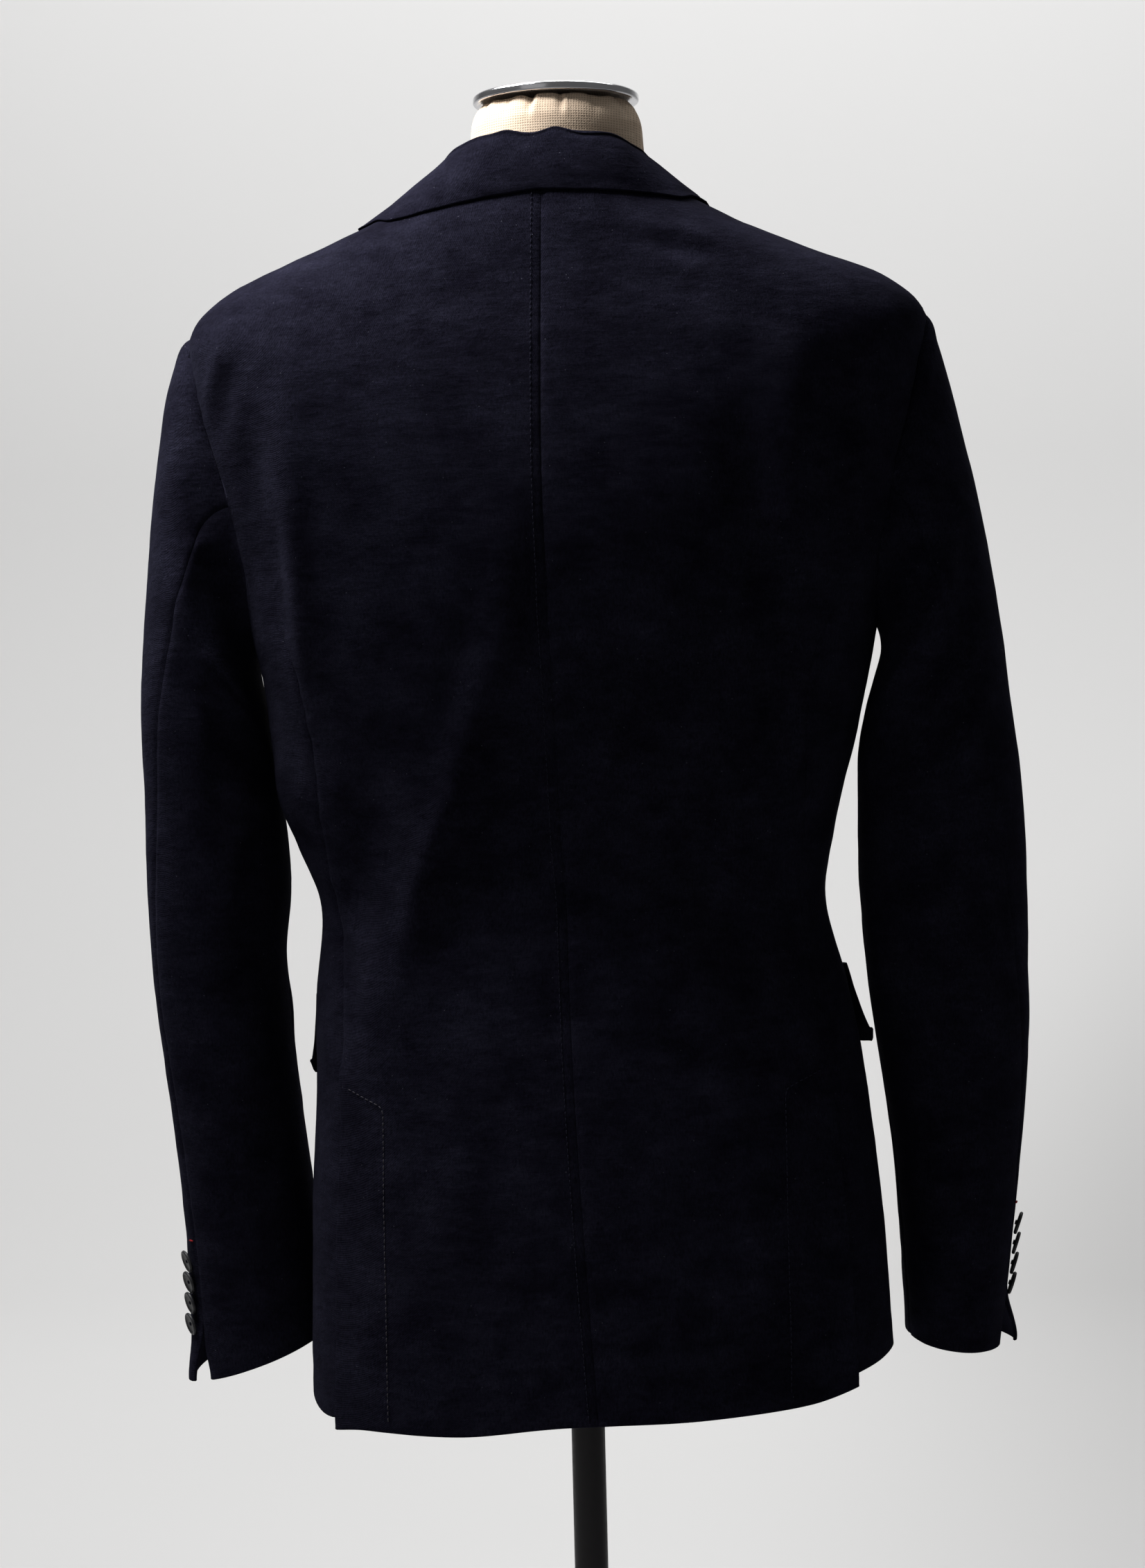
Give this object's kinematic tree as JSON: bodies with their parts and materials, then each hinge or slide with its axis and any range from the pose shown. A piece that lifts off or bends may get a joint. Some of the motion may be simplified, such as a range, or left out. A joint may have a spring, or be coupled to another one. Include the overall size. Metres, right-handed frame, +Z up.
{
  "type": "blazer on dress form stand",
  "caption": "Single-breasted blazer with notch lapels, flap pockets, side vents and buttoned cuffs, worn by a limbless dress form with a neck cap on a round-footed pole stand.",
  "frame": {"origin": "on the floor, under the middle of the whole object's bounding box", "axes": "+Z up, the garment's front faces -Y, +X is the wearer's left"},
  "size_m": [0.5558, 0.32, 1.336],
  "materials": {
    "cloth": "matt short-napped cotton",
    "button": "satin",
    "linen": "plain weave",
    "cap": "polished",
    "stand": "satin"
  },
  "bodies": {
    "root": {"back_left": "cloth", "back_right": "cloth", "side_left": "cloth", "side_right": "cloth", "front_left": "cloth", "front_right": "cloth", "lapel_left": "cloth", "lapel_right": "cloth", "topsleeve_left": "cloth", "topsleeve_right": "cloth", "undersleeve_left": "cloth", "undersleeve_right": "cloth", "pocket_flap_left": "cloth", "pocket_flap_right": "cloth", "collar_leaf": "cloth", "collar_stand": "cloth", "front_button_1": "button", "front_button_2": "button", "cuff_button_left_1": "button", "cuff_button_left_2": "button", "cuff_button_left_3": "button", "cuff_button_left_4": "button", "cuff_button_right_1": "button", "cuff_button_right_2": "button", "cuff_button_right_3": "button", "cuff_button_right_4": "button", "dress_form": "linen", "neck_cap": "cap", "stand_pole": "stand", "stand_foot": "stand"}
  },
  "joints": []
}
